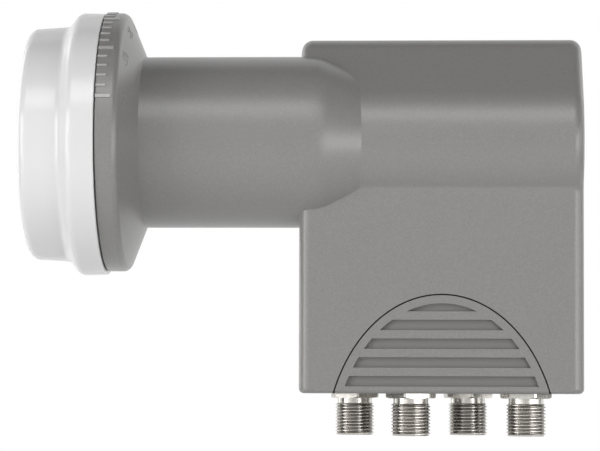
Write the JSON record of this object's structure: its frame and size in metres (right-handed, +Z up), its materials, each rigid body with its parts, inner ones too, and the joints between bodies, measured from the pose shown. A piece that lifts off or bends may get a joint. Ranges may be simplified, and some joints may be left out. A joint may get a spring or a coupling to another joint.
{
  "type": "satellite lnb",
  "caption": "Right-angled satellite receiver head: round neck with scale ring and white horn cap, ridged grey housing, sliding weather guard over threaded outputs.",
  "frame": {"origin": "on the axis of the neck, halfway along its clamping length", "axes": "+X along the neck from the horn to the housing, -Y the front with the bump, +Z up, away from the outputs"},
  "size_m": [0.1332, 0.0636, 0.1023],
  "materials": {
    "grey_plastic": "fine spark-eroded texture, weatherproof grey",
    "white_plastic": "smooth gloss",
    "seal_rubber": "matt",
    "cast_metal": "as cast",
    "zinc_steel": "bright zinc",
    "board": "solder mask",
    "gilt_pin": "bright",
    "ceramic": "fired ceramic",
    "nickel_plate": "turned and nickel plated",
    "insulator": "waxy"
  },
  "bodies": {
    "housing": {"front_shell": "grey_plastic", "rear_shell": "grey_plastic", "feed_cap": "white_plastic", "cap_seal": "seal_rubber", "chassis": "cast_metal", "chassis_cover": "cast_metal", "cover_gasket": "seal_rubber", "cover_screws": "zinc_steel", "circuit_board": "board", "board_screws": "zinc_steel", "horizontal_probe": "gilt_pin", "vertical_probe": "gilt_pin", "polariser_pin": "zinc_steel", "resonator_1": "ceramic", "resonator_2": "ceramic", "tuning_screw_1": "zinc_steel", "tuning_screw_2": "zinc_steel", "f_connector_1": "nickel_plate", "connector_insulator_1": "insulator", "connector_contact_1": "gilt_pin", "connector_seal_1": "seal_rubber", "f_connector_2": "nickel_plate", "connector_insulator_2": "insulator", "connector_contact_2": "gilt_pin", "connector_seal_2": "seal_rubber", "f_connector_3": "nickel_plate", "connector_insulator_3": "insulator", "connector_contact_3": "gilt_pin", "connector_seal_3": "seal_rubber", "f_connector_4": "nickel_plate", "connector_insulator_4": "insulator", "connector_contact_4": "gilt_pin", "connector_seal_4": "seal_rubber"},
    "guard": {"weather_guard": "grey_plastic"}
  },
  "joints": [
    {"name": "guard_slide", "type": "slide", "parent": "housing", "child": "guard", "axis": [0, 0, -1], "range_m": [0, 0.02]}
  ]
}
